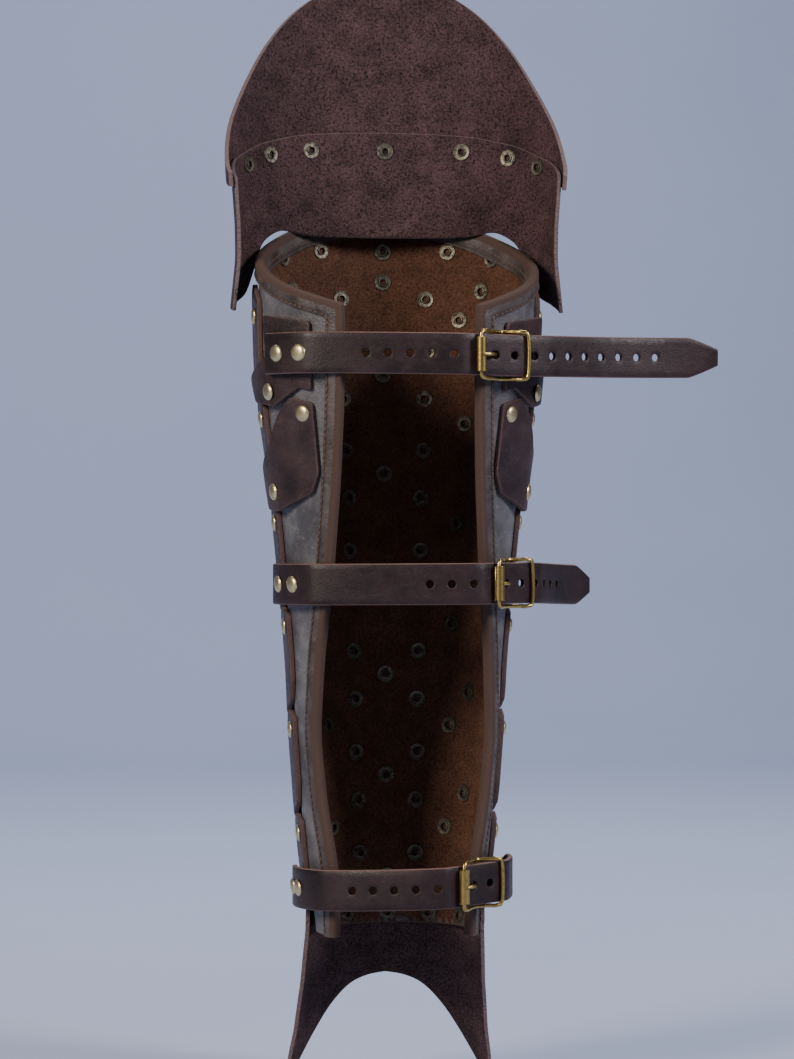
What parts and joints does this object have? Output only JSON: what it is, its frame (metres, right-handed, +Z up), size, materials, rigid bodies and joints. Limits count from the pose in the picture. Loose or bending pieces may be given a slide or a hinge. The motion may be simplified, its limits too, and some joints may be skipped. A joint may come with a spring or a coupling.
{
  "type": "greave",
  "caption": "Tall leather greave covered in riveted overlapping plates, with a knee plate on top, a pointed foot guard and straps with roller buckles across its open back.",
  "frame": {"origin": "middle of the leg's hollow at the level of the top strap, which carries the greave above the calf", "axes": "+Z up the leg towards the knee, +Y towards the shin's outer front, +X towards the buckles' side"},
  "size_m": [0.2913, 0.1656, 0.67],
  "materials": {
    "base_leather": "waxed grain outside, suede inside",
    "plate_leather": "satin",
    "knee_leather": "rough flesh side inside, satin outside",
    "binding_leather": "waxed, worn at the fold",
    "strap_leather": "satin",
    "antique_brass": "aged, rubbed bright on its high spots"
  },
  "bodies": {
    "root": {"bottom_buckle_frame": "antique_brass", "bottom_buckle_tab": "strap_leather", "bottom_roller": "antique_brass", "bottom_strap": "strap_leather", "bottom_tongue": "antique_brass", "edge_binding": "binding_leather", "foot_guard": "knee_leather", "knee_hanger": "strap_leather", "knee_lame": "knee_leather", "knee_plate": "knee_leather", "middle_buckle_frame": "antique_brass", "middle_buckle_tab": "strap_leather", "middle_roller": "antique_brass", "middle_strap": "strap_leather", "middle_tongue": "antique_brass", "plate_crest_1": "plate_leather", "plate_crest_2": "plate_leather", "plate_crest_3": "plate_leather", "plate_crest_4": "plate_leather", "plate_crest_5": "plate_leather", "plate_crest_6": "plate_leather", "plate_crest_7": "plate_leather", "plate_left_1_1": "plate_leather", "plate_left_1_2": "plate_leather", "plate_left_1_3": "plate_leather", "plate_left_1_4": "plate_leather", "plate_left_1_5": "plate_leather", "plate_left_1_6": "plate_leather", "plate_left_2_1": "plate_leather", "plate_left_2_2": "plate_leather", "plate_left_2_3": "plate_leather", "plate_left_2_4": "plate_leather", "plate_left_2_5": "plate_leather", "plate_left_2_6": "plate_leather", "plate_left_3_1": "plate_leather", "plate_left_3_2": "plate_leather", "plate_right_1_1": "plate_leather", "plate_right_1_2": "plate_leather", "plate_right_1_3": "plate_leather", "plate_right_1_4": "plate_leather", "plate_right_1_5": "plate_leather", "plate_right_1_6": "plate_leather", "plate_right_2_1": "plate_leather", "plate_right_2_2": "plate_leather", "plate_right_2_3": "plate_leather", "plate_right_2_4": "plate_leather", "plate_right_2_5": "plate_leather", "plate_right_2_6": "plate_leather", "plate_right_3_1": "plate_leather", "plate_right_3_2": "plate_leather", "shell": "base_leather", "top_buckle_frame": "antique_brass", "top_buckle_tab": "strap_leather", "top_roller": "antique_brass", "top_strap": "strap_leather", "top_tongue": "antique_brass"}
  },
  "joints": []
}
